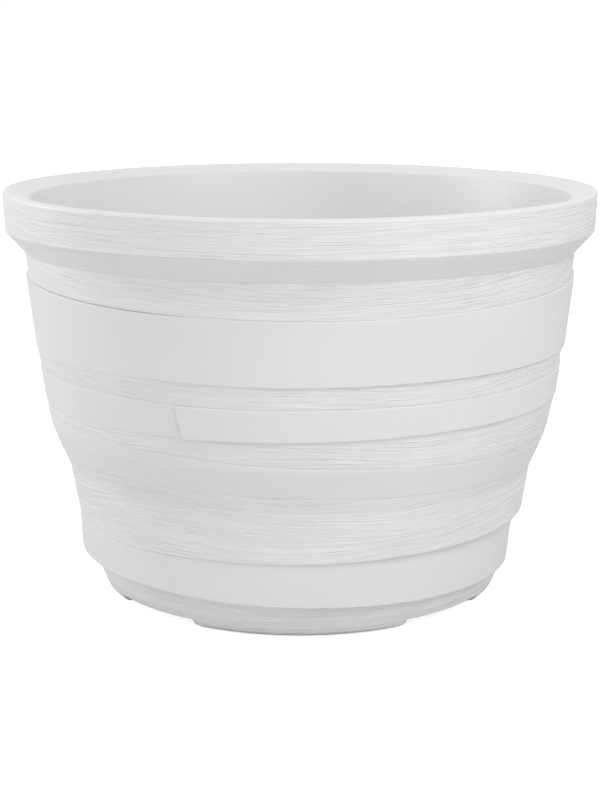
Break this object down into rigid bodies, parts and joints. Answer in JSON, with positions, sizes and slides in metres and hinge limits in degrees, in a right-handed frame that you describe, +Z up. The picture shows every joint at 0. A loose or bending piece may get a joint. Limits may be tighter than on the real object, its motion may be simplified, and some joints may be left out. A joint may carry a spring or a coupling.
{
  "type": "round floor planter",
  "caption": "Round tapered floor planter with a thick rim, wound smooth and wood-grained bands, moulded feet and a screw drain plug in its planting floor.",
  "frame": {"origin": "centre of the base on the floor", "axes": "+Z up along the axis of the planter, front of the picture towards -Y"},
  "size_m": [0.5798, 0.5796, 0.402],
  "materials": {
    "shell_white": "rotomoulded white polyethylene, satin on the smooth bands, wood-grained on the others",
    "plug_white": "injection-moulded white polyethylene, fine matt",
    "seal_rubber": "black rubber, cut flat ring"
  },
  "bodies": {
    "shell": {"planter_shell": "shell_white"},
    "seal": {"plug_seal": "seal_rubber"},
    "plug": {"drain_plug": "plug_white"}
  },
  "joints": [
    {"name": "plug_lift", "type": "slide", "parent": "shell", "child": "seal", "axis": [0, 0, 1], "range_m": [0, 0.4]},
    {"name": "plug_turn", "type": "hinge", "parent": "seal", "child": "plug", "pos_m": [0, 0, 0.054], "axis": [0, 0, 1], "range_deg": [0, 1080]}
  ]
}
